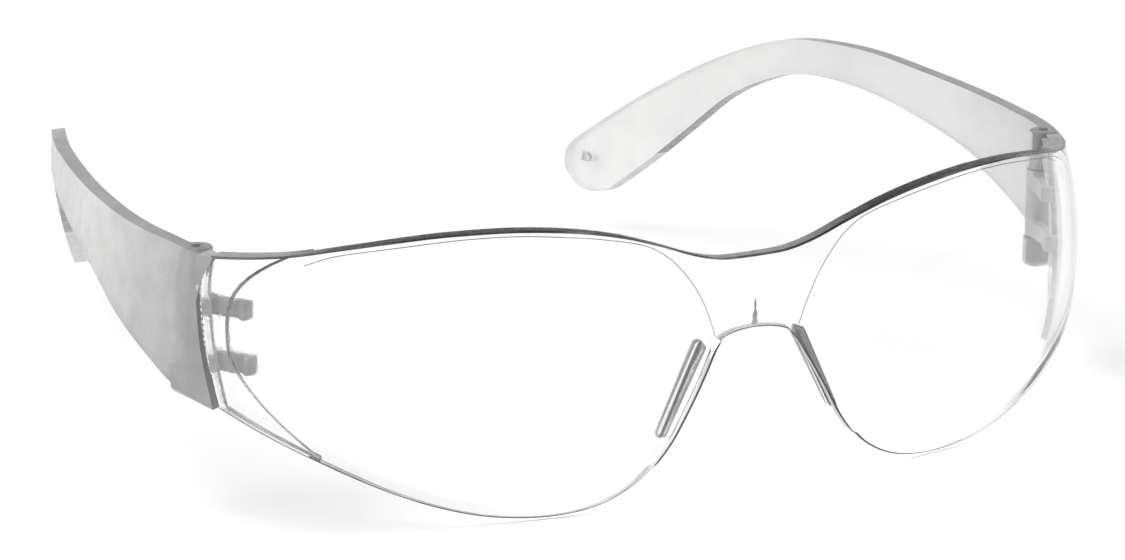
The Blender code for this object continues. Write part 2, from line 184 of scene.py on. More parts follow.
def smooth_curve(points, count):
    """Points evenly spaced along a Catmull-Rom curve through the control points."""
    fine = []
    last = len(points) - 1
    for i in range(last):
        before = points[max(i - 1, 0)]
        start = points[i]
        end = points[i + 1]
        after = points[min(i + 2, last)]
        for step in range(20):
            t = step / 20
            fine.append([0.5 * (2 * b + (c - a) * t + (2 * a - 5 * b + 4 * c - d) * t * t
                                + (3 * b - a - 3 * c + d) * t ** 3)
                         for a, b, c, d in zip(before, start, end, after)])
    fine.append(list(points[-1]))
    lengths = [0.0]
    for first, second in zip(fine, fine[1:]):
        lengths.append(lengths[-1] + math.dist(first[:2], second[:2]))
    result = []
    at = 0
    for i in range(count):
        target = lengths[-1] * i / (count - 1)
        while at < len(lengths) - 2 and lengths[at + 1] < target:
            at += 1
        span = lengths[at + 1] - lengths[at]
        mix = (target - lengths[at]) / span
        result.append([a + (b - a) * mix for a, b in zip(fine[at], fine[at + 1])])
    return result


def lookup(points):
    """A function that gives a curve's second coordinate at a value of its first one."""
    fine = smooth_curve(points, 320)

    def value(where):
        low = 0
        high = len(fine) - 1
        while high - low > 1:
            middle = (low + high) // 2
            if fine[middle][0] <= where:
                low = middle
            else:
                high = middle
        first = fine[low]
        second = fine[high]
        mix = min(max((where - first[0]) / (second[0] - first[0]), 0.0), 1.0)
        return first[1] + (second[1] - first[1]) * mix

    return value


top_edge_height = lookup(LENS_TOP_EDGE)
low_edge_height = lookup(LENS_LOW_EDGE[8:])
bow_width = lookup(TEMPLE_BOW)


def new_object(name, mesh):
    item = bpy.data.objects.new(name, mesh)
    bpy.context.scene.collection.objects.link(item)
    return item


def mesh_object(name, vertices, faces):
    mesh = bpy.data.meshes.new(name)
    mesh.from_pydata([tuple(place(v)) for v in vertices], [], faces)
    mesh.validate()
    return new_object(name, mesh)


def evaluated_mesh(item):
    bpy.context.view_layer.update()
    evaluated = item.evaluated_get(bpy.context.evaluated_depsgraph_get())
    mesh = bpy.data.meshes.new_from_object(evaluated)
    mesh.transform(item.matrix_world)
    return mesh


def applied(item, name):
    """The object with its modifiers made real, under a new name."""
    mesh = evaluated_mesh(item)
    bpy.data.objects.remove(item, do_unlink=True)
    shape = bmesh.new()
    shape.from_mesh(mesh)
    bmesh.ops.remove_doubles(shape, verts=shape.verts, dist=0.0005 * MM)
    bmesh.ops.recalc_face_normals(shape, faces=shape.faces)
    if shape.calc_volume(signed=True) < 0:
        bmesh.ops.reverse_faces(shape, faces=shape.faces)
    shape.to_mesh(mesh)
    shape.free()
    mesh.name = name
    return new_object(name, mesh)


def combine(item, other, operation):
    modifier = item.modifiers.new(operation.lower(), "BOOLEAN")
    modifier.operation = operation
    modifier.solver = "EXACT"
    modifier.object = other


def bevel(item, width, segments, angle=50):
    modifier = item.modifiers.new("rounding", "BEVEL")
    modifier.width = width * MM
    modifier.segments = segments
    modifier.limit_method = "ANGLE"
    modifier.angle_limit = math.radians(angle)


def shade(item, angle=40):
    item.data.shade_smooth()
    item.data.set_sharp_from_angle(angle=math.radians(angle))


def mirrored(item, name):
    mesh = item.data.copy()
    mesh.name = name
    mesh.transform(Matrix.Diagonal((-1, 1, 1, 1)))
    mesh.flip_normals()
    return new_object(name, mesh)


def finished(shape, name):
    """The object made from a bmesh, with its faces turned outward."""
    bmesh.ops.recalc_face_normals(shape, faces=shape.faces)
    mesh = bpy.data.meshes.new(name)
    shape.to_mesh(mesh)
    shape.free()
    return new_object(name, mesh)


def plate(name, outline, bottom, top):
    """A plan-view outline, extruded from one height to another."""
    shape = bmesh.new()
    ring = [shape.verts.new(place((x, y, bottom))) for x, y in outline]
    base = shape.faces.new(ring)
    lifted = bmesh.ops.extrude_face_region(shape, geom=[base])
    moved = [v for v in lifted["geom"] if isinstance(v, bmesh.types.BMVert)]
    bmesh.ops.translate(shape, verts=moved, vec=(0, 0, (top - bottom) * MM))
    return finished(shape, name)


def upright_cylinder(name, radius, bottom, top, segments=64):
    turns = [math.tau * i / segments for i in range(segments)]
    outline = [(PIN_X + radius * math.cos(t), PIN_Y + radius * math.sin(t)) for t in turns]
    return plate(name, outline, bottom, top)


# ---------------------------------------------------------------- materials

class Look:
    """One procedural material, with short calls for its nodes. Lengths in its nodes are in metres."""

    def __init__(self, name, **settings):
        self.material = bpy.data.materials.new(name)
        self.material.use_nodes = True
        self.nodes = self.material.node_tree.nodes
        self.links = self.material.node_tree.links
        self.shader = self.nodes["Principled BSDF"]
        self.output = self.nodes["Material Output"]
        self.spot = self.nodes.new("ShaderNodeTexCoord").outputs["Object"]
        for socket, value in settings.items():
            self.shader.inputs[socket.replace("_", " ")].default_value = value

    def node(self, kind, inputs=(), **settings):
        made = self.nodes.new(kind)
        for key, value in settings.items():
            setattr(made, key, value)
        for key, value in dict(inputs).items():
            if isinstance(value, bpy.types.NodeSocket):
                self.links.new(value, made.inputs[key])
            else:
                made.inputs[key].default_value = value
        return made

    def noise(self, size, detail=3.0, where=None, **inputs):
        """Noise whose features are about size millimetres wide."""
        values = {"Vector": where or self.spot, "Scale": 1 / (size * MM), "Detail": detail}
        values.update(inputs)
        return self.node("ShaderNodeTexNoise", values).outputs["Fac"]

    def remap(self, value, low, high, to_low=0.0, to_high=1.0):
        return self.node("ShaderNodeMapRange", {"Value": value, "From Min": low, "From Max": high,
                                                "To Min": to_low, "To Max": to_high}).outputs["Result"]

    def maths(self, operation, first, second):
        return self.node("ShaderNodeMath", {0: first, 1: second}, operation=operation).outputs[0]

    def ramp(self, value, stops):
        made = self.node("ShaderNodeValToRGB", {"Fac": value})
        ramp = made.color_ramp
        while len(ramp.elements) < len(stops):
            ramp.elements.new(1.0)
        for element, (at, colour) in zip(ramp.elements, stops):
            element.position = at
            element.color = (*colour, 1.0)
        return made.outputs["Color"]

    def product(self, first, second):
        """Two colours multiplied."""
        made = self.node("ShaderNodeMix", data_type="RGBA", blend_type="MULTIPLY")
        made.inputs["Factor"].default_value = 1.0
        self.links.new(first, made.inputs["A"])
        self.links.new(second, made.inputs["B"])
        return made.outputs["Result"]

    def axis(self, name):
        return self.node("ShaderNodeSeparateXYZ", {"Vector": self.spot}).outputs[name]

    def side_distance(self):
        """Distance from the middle of the glasses, either side."""
        return self.node("ShaderNodeMath", {0: self.axis("X")}, operation="ABSOLUTE").outputs[0]

    def drive(self, socket, value):
        self.links.new(value, self.shader.inputs[socket])

    def bump(self, height, depth, strength=1.0):
        made = self.node("ShaderNodeBump", {"Height": height, "Distance": depth * MM, "Strength": strength})
        self.drive("Normal", made.outputs["Normal"])

    def let_lamps_through(self, share):
        """Shadow rays pass, as light passes through the real clear plastic."""
        path = self.node("ShaderNodeLightPath").outputs["Is Shadow Ray"]
        clear = self.node("ShaderNodeBsdfTransparent", {"Color": (share, share, share, 1.0)})
        mix = self.node("ShaderNodeMixShader", {0: path})
        self.links.new(self.shader.outputs[0], mix.inputs[1])
        self.links.new(clear.outputs[0], mix.inputs[2])
        self.links.new(mix.outputs[0], self.output.inputs["Surface"])


def grey(value, warm=0.0):
    return (value, value * (1 - warm * 0.4), value * (1 - warm))


def clear_look(name, tint):
    """Polished clear polycarbonate, with handling marks and moulding stipple on the wings."""
    look = Look(name, Transmission_Weight=1.0, IOR=1.5)
    cloud = look.noise(14.0)
    look.drive("Base Color", look.ramp(cloud, [(0.3, tint), (0.7, grey(0.995))]))
    marks = look.noise(1.6, detail=6.0)
    look.drive("Roughness", look.remap(marks, 0.45, 0.75, 0.005, 0.06))
    wing = look.remap(look.side_distance(), 0.0635, 0.0695)
    stipple = look.remap(look.noise(0.45, detail=2.0), 0.5, 0.62)
    look.bump(look.maths("MULTIPLY", wing, stipple), 0.03, 0.5)
    look.let_lamps_through(0.96)
    return look.material


def painted_line_look(name, dark, middle, light):
    """A rounded corner of a clear sheet, which shows as a thin line, here painted as opaque greys: painted
    shade in place of the clear plastic.
    """
    look = Look(name, Specular_IOR_Level=0.4)
    wander = look.noise(7.0, detail=5.0)
    tones = [(0.3, grey(dark)), (0.55, grey(middle)), (0.75, grey(light))]
    # The greys wander along the line, and all of them are painted shade.
    look.drive("Base Color", look.ramp(wander, tones))
    look.drive("Roughness", look.remap(look.noise(1.0), 0.3, 0.7, 0.15, 0.35))
    look.bump(look.noise(0.5), 0.02, 0.4)
    return look.material


def painted_top_rim_look():
    """The trimmed top of the rim, painted shade: nearly black, and grey at the bridge and over the wings.
    """
    look = Look("top_rim_painted_shade", Specular_IOR_Level=0.3)
    across = look.remap(look.side_distance(), 0.0, 0.075)
    wander = look.remap(look.noise(6.0, detail=5.0), 0.3, 0.7, -0.03, 0.03)
    where = look.maths("ADD", across, wander)
    tone = look.ramp(where, [(0.06, grey(0.26)), (0.16, grey(0.16)), (0.24, grey(0.012)),
                             (0.55, grey(0.02)), (0.74, grey(0.012)), (0.82, grey(0.3))])
    fleck = look.ramp(look.noise(0.8, detail=5.0), [(0.35, grey(0.75)), (0.7, grey(1.0))])
    look.drive("Base Color", look.product(tone, fleck))
    look.drive("Roughness", look.remap(look.noise(0.7), 0.3, 0.7, 0.3, 0.6))
    look.bump(look.noise(0.3, detail=4.0), 0.03, 0.5)
    return look.material


def painted_step_wall_look():
    """The steep wall where the wing thickens, its dark greys painted shade."""
    look = Look("step_wall_painted_shade", Transmission_Weight=0.5, IOR=1.5)
    cloud = look.noise(1.2, detail=5.0)
    look.drive("Base Color", look.ramp(cloud, [(0.35, grey(0.16)), (0.65, grey(0.42))]))
    look.drive("Roughness", look.remap(look.noise(0.6), 0.3, 0.7, 0.25, 0.5))
    look.bump(look.noise(0.35, detail=4.0), 0.03, 0.6)
    return look.material


def frosted_look(name, stops, transmission, rough_low, rough_high, mottled=0.78, grain=0.3):
    """Spark-textured translucent polycarbonate, its tone running along the temple from the stops given,
    which for the temples are painted light and shade.
    """
    look = Look(name, Transmission_Weight=transmission, IOR=1.45)
    cloud = look.noise(3.5, detail=6.0)
    speck = look.noise(grain, detail=3.0)
    along = look.remap(look.axis("Y"), -0.045, 0.07)
    # The tone along Y is painted light and shade where the temples set it. The mottle laid over it is the
    # plastic's own texture.
    tone = look.ramp(along, [(at, grey(value, 0.015)) for at, value in stops])
    grain_tone = look.maths("ADD", look.maths("MULTIPLY", cloud, 0.65),
                            look.maths("MULTIPLY", speck, 0.35))
    mottle = look.ramp(grain_tone, [(0.36, grey(mottled)), (0.6, grey(1.0))])
    look.drive("Base Color", look.product(tone, mottle))
    look.drive("Roughness", look.remap(look.noise(2.5), 0.3, 0.7, rough_low, rough_high))
    look.bump(speck, 0.05, 0.6)
    look.let_lamps_through(0.55)
    return look.material


def pad_look():
    """Clear plastic of the nose ribs, whose edges and ends read as soft grey lines through a second
    material of painted shade.
    """
    look = Look("clear_pad_plastic", Transmission_Weight=0.85, IOR=1.5)
    look.drive("Base Color", look.ramp(look.noise(3.0), [(0.3, grey(0.8)), (0.7, grey(0.95))]))
    look.drive("Roughness", look.remap(look.noise(1.2, detail=5.0), 0.4, 0.75, 0.03, 0.14))
    look.bump(look.noise(0.6), 0.02, 0.4)
    look.let_lamps_through(0.9)
    return look.material


def steel_look():
    look = Look("drawn_steel", Metallic=1.0)
    stretched = look.node("ShaderNodeVectorMath", {0: look.spot, 1: (1.0, 1.0, 0.05)}, operation="MULTIPLY")
    drawn = look.noise(0.12, where=stretched.outputs[0])
    look.drive("Base Color", look.ramp(look.noise(0.8), [(0.3, grey(0.35)), (0.7, grey(0.65))]))
    look.drive("Roughness", look.remap(drawn, 0.3, 0.7, 0.15, 0.4))
    look.bump(drawn, 0.01, 0.5)
    return look.material


# ---------------------------------------------------------------- lens

def sphere_depth(x, z):
    across = x - LENS_SPHERE_X
    return -math.sqrt(LENS_RADIUS ** 2 - across ** 2 - z ** 2)


def lens_depth(x, z):
    """Front face of the lens, with the saddle that joins its halves."""
    x = abs(x)
    width = max(SADDLE_HALF_WIDTH + SADDLE_WIDENING * z, SADDLE_HALF_WIDTH)
    if x >= width:
        return sphere_depth(x, z)
    edge = sphere_depth(width, z)
    slope = (width - LENS_SPHERE_X) / -edge
    return edge + slope * (x * x - width * width) / (2 * width)


def lens_normal(x, z):
    step = 0.02
    slope_x = (lens_depth(x + step, z) - lens_depth(x - step, z)) / (2 * step)
    slope_z = (lens_depth(x, z + step) - lens_depth(x, z - step)) / (2 * step)
    return Vector((slope_x, -1.0, slope_z)).normalized()


def bulge_shape(level):
    power = 3.2 if level > 0.5 else 1.7
    return 1 - abs(2 * level - 1) ** power


def column_bulge(x):
    """How far a column of the lens grid bows outward at its middle."""
    if x < BULGE_START_X:
        return 0.0
    if x < STEP_X:
        return STEP_BULGE * ((x - BULGE_START_X) / (STEP_X - BULGE_START_X)) ** 2
    outer = max(0.0, x - STEP_X - STEP_WIDTH)
    whole = LENS_LOW_EDGE[-1][0] - STEP_X - STEP_WIDTH
    return STEP_BULGE + (SIDE_BULGE - STEP_BULGE) * outer / whole


def lens_columns():
    """Low-edge points of the lens grid from the middle out, closer together at the wing's step."""
    columns = smooth_curve(LENS_LOW_EDGE, LENS_COLUMNS)
    spread = [STEP_X + s for s in STEP_COLUMNS]
    columns = [c for c in columns if not spread[0] - 0.3 < c[0] < spread[-1] + 0.3]
    columns += [[x, low_edge_height(x)] for x in spread]
    columns.sort()
    side = columns[-1]
    columns.insert(-1, [side[0] - BORDER_ROW, low_edge_height(side[0] - BORDER_ROW)])
    return [c for i, c in enumerate(columns) if i == 0 or c[0] - columns[i - 1][0] > 0.01]


def column_levels(low, high):
    border = BORDER_ROW / (high - low)
    inner = [border + (1 - 2 * border) * i / LENS_ROWS for i in range(LENS_ROWS + 1)]
    return [0.0] + inner + [1.0]


def column_thickness(x):
    share = min(max((x - STEP_X - STEP_START) / (STEP_END - STEP_START), 0.0), 1.0)
    return OPTIC_THICKNESS + (WING_THICKNESS - OPTIC_THICKNESS) * share * share * (3 - 2 * share)


def lens_grid():
    """Front points with their normals and wall thickness, column by column from -X to +X."""
    grid = []
    columns = lens_columns()
    for x, low in columns:
        high = top_edge_height(min(x, LENS_TOP_EDGE[-1][0]))
        column = []
        for level in column_levels(low, high):
            z = low + (high - low) * level
            across = x + column_bulge(x) * bulge_shape(level)
            if x == columns[-1][0]:
                across -= (x - LENS_TOP_EDGE[-1][0]) * level
            column.append((Vector((across, lens_depth(across, z), z)), lens_normal(across, z),
                           column_thickness(x)))
        grid.append((x, column))
    flip = Vector((-1, 1, 1))
    twin = [(-x, [(p * flip, n * flip, t) for p, n, t in column]) for x, column in grid[:0:-1]]
    return twin + grid


def level_wall(normal, thick):
    """From the back sheet to the front one: level, so that the rim is cut flat."""
    flat = Vector((normal.x, normal.y, 0.0))
    return flat * thick / flat.length_squared


def rounded(corner, share):
    """A point on the rounding between a corner's two sides."""
    start, middle, end = corner
    return start * (1 - share) ** 2 + middle * 2 * share * (1 - share) + end * share ** 2


def build_lens():
    """Front and back sheets of the lens and a rounded rim between them."""
    grid = lens_grid()
    rows = len(grid[0][1])
    count = len(grid)
    loop = [(c, 0) for c in range(count)] + [(count - 1, r) for r in range(1, rows)]
    loop += [(c, rows - 1) for c in range(count - 2, -1, -1)] + [(0, r) for r in range(rows - 2, 0, -1)]
    points = [grid[c][1][r] for c, r in loop]
    outward = {}
    for i, spot in enumerate(loop):
        before = points[i - 1][0]
        after = points[(i + 1) % len(points)][0]
        across = (after - before).cross(points[i][1]).normalized()
        outward[spot] = -across if across.dot(points[i][0] - Vector(LENS_MIDDLE)) < 0 else across
    shape = bmesh.new()
    front = []
    back = []
    for c, (x, column) in enumerate(grid):
        front_column = []
        back_column = []
        for r, (point, normal, thick) in enumerate(column):
            away = outward.get((c, r), Vector())
            behind = point - level_wall(normal, thick)
            front_column.append(shape.verts.new(place(point - away * FRONT_ROUNDING)))
            back_column.append(shape.verts.new(place(behind - away * BACK_ROUNDING)))
        front.append(front_column)
        back.append(back_column)
    # Slot 0 is the clear sheet. The front rounding, the top rim, the back rounding and the step wall are
    # painted shade in opaque greys.
    clear, front_line, top_rim, back_line, step = range(5)
    for c in range(count - 1):
        middle = abs(grid[c][0] + grid[c + 1][0]) / 2 - STEP_X
        wall = STEP_START < middle < STEP_END
        for r in range(rows - 1):
            shape.faces.new((front[c][r], front[c + 1][r], front[c + 1][r + 1], front[c][r + 1]))
            face = shape.faces.new((back[c][r + 1], back[c + 1][r + 1], back[c + 1][r], back[c][r]))
            face.material_index = step if wall else clear
    rings = []
    for (c, r), (point, normal, thick) in zip(loop, points):
        wall = level_wall(normal, thick)
        behind = point - wall
        rearward = wall.normalized()
        ring = [front[c][r]]
        starts = [point - outward[(c, r)] * FRONT_ROUNDING, point, point - rearward * FRONT_ROUNDING]
        for i in range(1, ROUNDING_STEPS + 1):
            ring.append(shape.verts.new(place(rounded(starts, i / ROUNDING_STEPS))))
        starts = [behind + rearward * BACK_ROUNDING, behind, behind - outward[(c, r)] * BACK_ROUNDING]
        for i in range(ROUNDING_STEPS):
            ring.append(shape.verts.new(place(rounded(starts, i / ROUNDING_STEPS))))
        ring.append(back[c][r])
        rings.append(ring)
    for i, ring in enumerate(rings):
        following = rings[(i + 1) % len(rings)]
        on_top = loop[i][1] == rows - 1 and loop[(i + 1) % len(loop)][1] == rows - 1
        for k in range(len(ring) - 1):
            face = shape.faces.new((ring[k], ring[k + 1], following[k + 1], following[k]))
            # The front rounding gets the darkest painted shade line, the top rim its own painted shade, and
            # the back rounding a light grey painted shade line. The flat band between them stays clear.
            if k < ROUNDING_STEPS:
                face.material_index = front_line
            elif on_top:
                face.material_index = top_rim
            else:
                face.material_index = clear if k == ROUNDING_STEPS else back_line
    lens = finished(shape, "lens_shield")
    for look in (clear_look("clear_polycarbonate", grey(0.98)),
                 painted_line_look("front_rounding_painted_shade", 0.012, 0.05, 0.2), painted_top_rim_look(),
                 painted_line_look("back_rounding_painted_shade", 0.55, 0.7, 0.85), painted_step_wall_look()):
        lens.data.materials.append(look)
    shade(lens, 60)
    return lens


def on_lens(x, z, depth):
    return Vector((x, lens_depth(x, z), z)) - lens_normal(x, z) * depth


def build_optic_border():
    """A fine crease round the top and the bridge side of one eye's optical zone."""
    spine = [on_lens(x, z, BORDER_DEPTH) for x, z in smooth_curve(OPTIC_BORDER, BORDER_STATIONS)]
    shape = bmesh.new()
    rings = []
    for i, point in enumerate(spine):
        along = (spine[min(i + 1, len(spine) - 1)] - spine[max(i - 1, 0)]).normalized()
        normal = lens_normal(point.x, point.z)
        side = along.cross(normal).normalized()
        turns = [math.tau * k / BORDER_SIDES for k in range(BORDER_SIDES)]
        ring = [point + (side * math.cos(t) + normal * math.sin(t)) * BORDER_RADIUS for t in turns]
        rings.append([shape.verts.new(place(corner)) for corner in ring])
    for lower, upper in zip(rings, rings[1:]):
        for i in range(BORDER_SIDES):
            k = (i + 1) % BORDER_SIDES
            shape.faces.new((lower[i], lower[k], upper[k], upper[i]))
    shape.faces.new(rings[0])
    shape.faces.new(rings[-1])
    return finished(shape, "optic_border_left")


def build_gate_mark():
    """The roughly cut vestige of the moulding gate, at the middle of the bridge."""
    shape = bmesh.new()
    raised = [shape.verts.new(place(on_lens(x, z, -GATE_RAISED))) for x, z in GATE_OUTLINE]
    sunk = [shape.verts.new(place(on_lens(x, z, GATE_SUNK))) for x, z in GATE_OUTLINE]
    shape.faces.new(raised)
    shape.faces.new(sunk[::-1])
    for i in range(len(raised)):
        k = (i + 1) % len(raised)
        shape.faces.new((raised[i], sunk[i], sunk[k], raised[k]))
    return finished(shape, "gate_vestige")


# ---------------------------------------------------------------- temple

def temple_face(y, z):
    flatten = min(max((y - PIN_Y) / SKIN_FLATTEN_LENGTH, 0.0), SKIN_FLATTEN_MOST)
    return bow_width(y) - SKIN_CURVATURE * (1 - flatten) * z * z


def skin_front_depth(z):
    low = LENS_LOW_EDGE[-1]
    high = LENS_TOP_EDGE[-1]
    level = min(max((z - low[1]) / (high[1] - low[1]), 0.0), 1.0)
    x = low[0] + (high[0] - low[0]) * level + SIDE_BULGE * bulge_shape(level)
    return sphere_depth(x, z) + SKIN_GAP


def temple_stations():
    line = smooth_curve(TEMPLE_LINE, TEMPLE_STATIONS)
    stations = []
    for i, (y, z, half) in enumerate(line):
        before = line[max(i - 1, 0)]
        after = line[min(i + 1, len(line) - 1)]
        along = Vector((after[0] - before[0], after[1] - before[1])).normalized()
        if i == 0:
            along = Vector((1.0, 0.0))
        stations.append((Vector((y, z)), along, half))
    centre, along, half = stations[-1]
    for angle in TEMPLE_TIP_ANGLES:
        turn = math.radians(angle)
        stations.append((centre + along * half * math.sin(turn), along, half * math.cos(turn)))
    return stations


def build_temple_arm():
    vertices = []
    stations = temple_stations()
    levels = [i / TEMPLE_LEVELS * 2 - 1 for i in range(TEMPLE_LEVELS + 1)]
    start = stations[0][0].x
    for centre, along, half in stations:
        across = Vector((-along.y, along.x))
        blend = max(0.0, 1 - (centre.x - start) / SKIN_BLEND_LENGTH)
        side = []
        for level in levels:
            y, z = centre + across * half * level
            y += blend * (skin_front_depth(z) - start)
            side.append((temple_face(y, z), y, z))
        slant = math.radians(SKIN_END_ANGLE * blend)
        inward = TEMPLE_THICKNESS * math.cos(slant)
        backward = TEMPLE_THICKNESS * math.sin(slant)
        vertices += side + [(x - inward, y + backward, z) for x, y, z in reversed(side)]
    size = 2 * len(levels)
    faces = []
    for end in (0, len(vertices) - size):
        for i in range(TEMPLE_LEVELS):
            faces.append((end + i, end + i + 1, end + size - 2 - i, end + size - 1 - i))
    for s in range(len(stations) - 1):
        for i in range(size):
            a = s * size + i
            b = s * size + (i + 1) % size
            faces.append((a, a + size, b + size, b))
    arm = mesh_object("temple_arm", vertices, faces)
    bevel(arm, TEMPLE_ROUNDING, 4)
    return applied(arm, "temple_arm")


def knuckle_outline(web):
    """A round boss about the pin, with a web out to the temple's skin."""
    turns = [math.radians(90 + 180 * i / 32) for i in range(33)]
    outline = [(PIN_X + KNUCKLE_RADIUS * math.cos(t), PIN_Y + KNUCKLE_RADIUS * math.sin(t)) for t in turns]
    return outline + [(web[0], PIN_Y - KNUCKLE_RADIUS), (web[1], PIN_Y + KNUCKLE_RADIUS)]


def round_end(item, height, width, segments):
    """Rounds the edges of a plate's flat end at one height."""
    shape = bmesh.new()
    shape.from_mesh(item.data)
    level = place((0, 0, height)).z
    edges = [e for e in shape.edges if all(abs(v.co.z - level) < 0.01 * MM for v in e.verts)]
    bmesh.ops.bevel(shape, geom=edges, offset=width * MM, segments=segments, affect="EDGES", profile=0.5)
    shape.to_mesh(item.data)
    shape.free()


def build_temple():
    temple = build_temple_arm()
    lower = CLIP_BOTTOM - HINGE_GAP
    upper = CLIP_TOP + HINGE_GAP
    helpers = []
    for bottom, top, round_low, round_high, web in ((KNUCKLE_BOTTOM, lower, 1.2, 0.2, LOW_WEB),
                                                    (upper, KNUCKLE_TOP, 0.2, 0.35, HIGH_WEB)):
        knuckle = plate("knuckle", knuckle_outline(web), bottom, top)
        round_end(knuckle, bottom, round_low, 5)
        round_end(knuckle, top, round_high, 3)
        combine(temple, knuckle, "UNION")
        helpers.append(knuckle)
    clearance = upright_cylinder("clip_clearance", CLIP_BARREL_RADIUS + HINGE_GAP, lower, upper)
    bore = upright_cylinder("pin_bore", PIN_RADIUS + BORE_CLEARANCE, KNUCKLE_BOTTOM - 2, KNUCKLE_TOP + 2)
    hole = bmesh.new()
    bmesh.ops.create_cone(hole, cap_ends=True, segments=40, radius1=CORD_HOLE_RADIUS * MM,
                          radius2=CORD_HOLE_RADIUS * MM, depth=20 * MM,
                          matrix=Matrix.Translation(place((temple_face(CORD_HOLE_Y, CORD_HOLE_Z),
                                                           CORD_HOLE_Y, CORD_HOLE_Z)))
                          @ Matrix.Rotation(math.radians(90), 4, "Y"))
    hole_mesh = bpy.data.meshes.new("cord_hole")
    hole.to_mesh(hole_mesh)
    hole.free()
    cord_hole = new_object("cord_hole", hole_mesh)
    for cutter in (clearance, bore, cord_hole):
        combine(temple, cutter, "DIFFERENCE")
        helpers.append(cutter)
    temple = applied(temple, "temple_arm_left")
    for helper in helpers:
        bpy.data.objects.remove(helper, do_unlink=True)
    mark_temple_faces(temple)
    shade(temple, 35)
    return temple


def mark_temple_faces(temple):
    """Material slots: 0 the frosted outside, 1 the smoother inside, painted lighter, 2 the edges and 3 the
    lower edge, both painted shade, with slot 3 on the faces turned down.
    """
    for face in temple.data.polygons:
        x, y, z = (face.center - CENTRE) / MM
        slope = bow_width(y + 0.5) - bow_width(y - 0.5)
        facing = face.normal.dot(Vector((1.0, -slope, 0.0)).normalized())
        # Faces turned down get the darker painted shade line.
        edge = 3 if face.normal.z < DOWNWARD_FOR_PAINTED_SHADE and z > KNUCKLE_BOTTOM else 2
        outside = x > temple_face(y, z) - TEMPLE_THICKNESS / 2
        face.material_index = (0 if outside else 1) if abs(facing) > BROAD_FACE else edge


# ---------------------------------------------------------------- clip, pin and nose pad

def prong_outline(height, hook_angle):
    end_angle = hook_angle + HOOK_WIDTH_ANGLE
    wing_face = math.sqrt((LENS_RADIUS - WING_THICKNESS) ** 2 - height ** 2) - HINGE_GAP
    inner = wing_face - PRONG_THICKNESS
    hook = wing_face + HOOK_DEPTH

    def on_arc(radius, degrees):
        turn = math.radians(-degrees)
        return (LENS_SPHERE_X + radius * math.cos(turn), radius * math.sin(turn))

    outer_side = [on_arc(wing_face, PRONG_START_ANGLE + i * 0.55) for i in range(13)]
    outer_side = [point for point in outer_side if point[1] > on_arc(wing_face, hook_angle)[1]]
    outer_side.append(on_arc(wing_face, hook_angle))
    hook_side = [on_arc(hook, hook_angle + 0.15), on_arc(hook, end_angle - 0.3),
                 on_arc(wing_face, end_angle), on_arc(inner, end_angle)]
    inner_side = [on_arc(inner, end_angle - i) for i in range(1, 7)]
    root = [(PIN_X - CLIP_BARREL_RADIUS * 0.95, PIN_Y), (PIN_X, PIN_Y + CLIP_BARREL_RADIUS * 0.5),
            (PIN_X + CLIP_BARREL_RADIUS * 0.7, PIN_Y - CLIP_BARREL_RADIUS * 0.6)]
    return outer_side + hook_side + inner_side + root


def build_clip():
    """Barrel and two hooked prongs, remeshed so that moulded fillets soften every corner."""
    clip = upright_cylinder("clip_barrel", CLIP_BARREL_RADIUS, CLIP_BOTTOM, CLIP_TOP)
    helpers = []
    high_prong = CLIP_TOP - HIGH_PRONG_DROP - PRONG_HEIGHT
    for bottom, hook_angle in ((CLIP_BOTTOM + 0.01, LOW_HOOK_ANGLE), (high_prong, HIGH_HOOK_ANGLE)):
        top = bottom + PRONG_HEIGHT
        prong = plate("prong", prong_outline(max(abs(bottom), abs(top)), hook_angle), bottom, top)
        combine(clip, prong, "UNION")
        helpers.append(prong)
    clip = applied(clip, "clip_solid")
    for helper in helpers:
        bpy.data.objects.remove(helper, do_unlink=True)
    remesh = clip.modifiers.new("fillets", "REMESH")
    remesh.mode = "VOXEL"
    remesh.voxel_size = CLIP_VOXEL * MM
    smooth = clip.modifiers.new("softened", "SMOOTH")
    smooth.iterations = 5
    clip = applied(clip, "clip_soft")
    bore = upright_cylinder("clip_bore", PIN_RADIUS + BORE_CLEARANCE, CLIP_BOTTOM - 2, CLIP_TOP + 2)
    combine(clip, bore, "DIFFERENCE")
    clip = applied(clip, "hinge_clip_soft_left")
    bpy.data.objects.remove(bore, do_unlink=True)
    shade(clip, 50)
    return clip


def build_pin():
    """A turned pin with chamfered ends, a shallow dimple and a domed rim."""
    profile = [(0.0, PIN_TOP - 0.08), (0.22, PIN_TOP - 0.05), (0.42, PIN_TOP), (0.58, PIN_TOP - 0.02),
               (0.7, PIN_TOP - 0.1), (0.78, PIN_TOP - 0.22), (PIN_RADIUS, PIN_TOP - 0.4),
               (PIN_RADIUS, PIN_BOTTOM + 0.4), (0.76, PIN_BOTTOM + 0.2), (0.66, PIN_BOTTOM + 0.06),
               (0.5, PIN_BOTTOM), (0.0, PIN_BOTTOM)]
    segments = 48
    shape = bmesh.new()
    rings = []
    for radius, z in profile:
        if radius == 0.0:
            rings.append([shape.verts.new(place((PIN_X, PIN_Y, z)))])
            continue
        rings.append([shape.verts.new(place((PIN_X + radius * math.cos(math.tau * i / segments),
                                             PIN_Y + radius * math.sin(math.tau * i / segments), z)))
                      for i in range(segments)])
    for upper, lower in zip(rings, rings[1:]):
        for i in range(segments):
            k = (i + 1) % segments
            corners = [upper[i % len(upper)], upper[k % len(upper)],
                       lower[k % len(lower)], lower[i % len(lower)]]
            shape.faces.new(list(dict.fromkeys(corners)))
    pin = finished(shape, "hinge_pin_turned_left")
    shade(pin, 50)
    return pin


